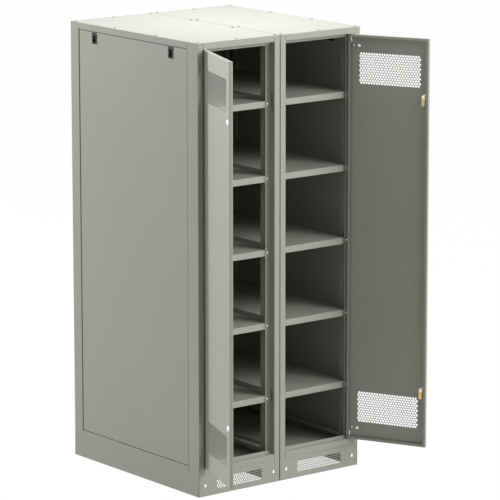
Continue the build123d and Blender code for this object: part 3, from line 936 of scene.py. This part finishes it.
for sideName in sideNames:
    sign = 1 if sideName == "right" else -1
    softened(f"{sideName}_latch_housings", f"{sideName}LatchHousings", fineEdge, finishes["black"],
             "black_plastic")
    ramps = []
    for low, high in islandBoxes(f"{sideName}_latch_housings"):
        middleY = (low.y + high.y) / 2
        floorZ = low.z + latchShape["bottomRim"] + latchShape["wall"]
        outer = max(abs(low.x), abs(high.x)) - latchShape["faceRim"]
        inner = min(abs(low.x), abs(high.x)) + latchShape["wall"]
        ramp = rampIn((inner, middleY - latchShape["slider"] / 2, floorZ),
                      (outer, middleY + latchShape["slider"] / 2, floorZ + latchShape["ramp"]))
        if sign < 0:
            ramp.data.transform(mirrorX)
            ramp.data.flip_normals()
        ramps.append(ramp)
    rampPiece = joined(ramps, f"{sideName}LatchRamps")
    dress(rampPiece, finishes["black"])
    hand(rampPiece, "frame", "black_plastic")
    for depthName in ("front", "rear"):
        node = f"{sideName}_{depthName}_latch"
        slider = softened(node, f"{sideName}{depthName.title()}Latch", fineEdge, finishes["black"], "black_plastic",
                          node)
        low, high = nodeBox(node)
        face = high.x if sign > 0 else low.x
        housingTop = islandBoxes(f"{sideName}_latch_housings")[0][1].z
        scoopTop = housingTop - latchShape["topRim"] - latchShape["scoopFromTop"]
        scoop = turned("scoop", [(latchShape["scoopDepth"], low.y + latchShape["scoopInset"]),
                                 (latchShape["scoopDepth"], high.y - latchShape["scoopInset"])], sides=24)
        scoop.data.transform(Matrix.Translation((face, 0, scoopTop - latchShape["scoopDepth"]))
                             @ Matrix.Rotation(-pi / 2, 4, "X"))
        cutWith(slider, scoop)
        smoothByAngle(slider)
print("latches shaped")

nodeFinishes = {"black_plastic": "black", "zinc": "zinc", "brass": "brass", "powder_coat": "coat"}
slotOf = {part["node"]: part["material_slot"] for part in frame["record"]["subparts"]}
for nodeName, node in nodes.items():
    if not node.hide_render:
        dress(node, finishes[nodeFinishes[slotOf[nodeName]]])


# floor, light and camera

def seenShare(tree):
    # one for what is seen directly, in gloss or through glass
    path = tree.nodes.new("ShaderNodeLightPath")
    share = path.outputs["Is Camera Ray"]
    for kind in ("Is Glossy Ray", "Is Transmission Ray"):
        larger = tree.nodes.new("ShaderNodeMath")
        larger.operation = "MAXIMUM"
        tree.links.new(share, larger.inputs[0])
        tree.links.new(path.outputs[kind], larger.inputs[1])
        share = larger.outputs["Value"]
    return share


def whiteForCamera(name, strength, keep):
    # seen directly it is near white; 'keep' is the share of its own shading that stays, for the shadow
    material = bpy.data.materials.new(name)
    material.use_nodes = True
    tree = material.node_tree
    tree.nodes.clear()
    out = tree.nodes.new("ShaderNodeOutputMaterial")
    plain = tree.nodes.new("ShaderNodeBsdfDiffuse")
    plain.inputs["Color"].default_value = (0.45, 0.45, 0.45, 1)
    glow = tree.nodes.new("ShaderNodeEmission")
    glow.inputs["Strength"].default_value = strength
    scaled = tree.nodes.new("ShaderNodeMath")
    scaled.operation = "MULTIPLY"
    scaled.inputs[1].default_value = 1 - keep
    tree.links.new(seenShare(tree), scaled.inputs[0])
    mixed = tree.nodes.new("ShaderNodeMixShader")
    wire(tree, scaled, "Value", mixed, "Fac")
    tree.links.new(plain.outputs[0], mixed.inputs[1])
    tree.links.new(glow.outputs[0], mixed.inputs[2])
    tree.links.new(mixed.outputs[0], out.inputs["Surface"])
    return material


bpy.ops.mesh.primitive_plane_add(size=60, location=(0, 0, -0.5 * mm))
ground = bpy.context.object
ground.name = "ground"
dress(ground, whiteForCamera("paleGround", 1.02, 0.03))

world = bpy.data.worlds.new("studio")
bpy.context.scene.world = world
world.use_nodes = True
tree = world.node_tree
tree.nodes.clear()
worldOut = tree.nodes.new("ShaderNodeOutputWorld")
ambient = tree.nodes.new("ShaderNodeBackground")
ambient.inputs["Strength"].default_value = 0.3
backdrop = tree.nodes.new("ShaderNodeBackground")
backdrop.inputs["Color"].default_value = (1, 1, 1, 1)
mixed = tree.nodes.new("ShaderNodeMixShader")
tree.links.new(seenShare(tree), mixed.inputs["Fac"])
tree.links.new(ambient.outputs[0], mixed.inputs[1])
tree.links.new(backdrop.outputs[0], mixed.inputs[2])
tree.links.new(mixed.outputs[0], worldOut.inputs["Surface"])

lamps = {
    # name: (place, aimed at, size, power, spread, blue share)
    "roofPanel": ((0.12, 0.0, 4.2), (0.05, 0, 2.0), 1.25, 18.0, 78, 1.06),
    "backLeft": ((-2.03, 6.05, 2.77), (-0.5, -0.6, 1.2), 0.6, 345, 180, 1.0),
    "leftFill": ((-7.56, 1.83, 2.66), (0, -0.2, 1.0), 5.0, 140, 180, 1.0),
    "frontFill": ((4.31, -6.36, 3.74), (0, -0.2, 1.0), 5.0, 315, 180, 1.0),
    "highFill": ((2.1, -5.96, 6.14), (0, -0.2, 1.0), 5.0, 290, 180, 1.0),
}
for lampName, (place, target, size, power, spread, blue) in lamps.items():
    light = bpy.data.lights.new(lampName, "AREA")
    light.shape = "DISK"
    light.size = size
    light.energy = power
    light.spread = radians(spread)
    light.color = (1, 1, blue)
    lamp = bpy.data.objects.new(lampName, light)
    bpy.context.scene.collection.objects.link(lamp)
    lamp.location = place
    lamp.rotation_euler = (Vector(target) - Vector(place)).to_track_quat("-Z", "Y").to_euler()

camera = {"place": (-8.971, -11.723, 3.977), "turn": (78.499, 0.029, -38.043), "lens": 240.88}
cameraData = bpy.data.cameras.new("camera")
cameraData.lens = camera["lens"]
cameraData.sensor_width = 36
cameraData.clip_end = 100
cameraObject = bpy.data.objects.new("camera", cameraData)
cameraObject.location = camera["place"]
cameraObject.rotation_euler = [radians(angle) for angle in camera["turn"]]
bpy.context.scene.collection.objects.link(cameraObject)
bpy.context.scene.camera = cameraObject
bpy.context.scene.view_settings.view_transform = "Standard"
print("light and camera placed")
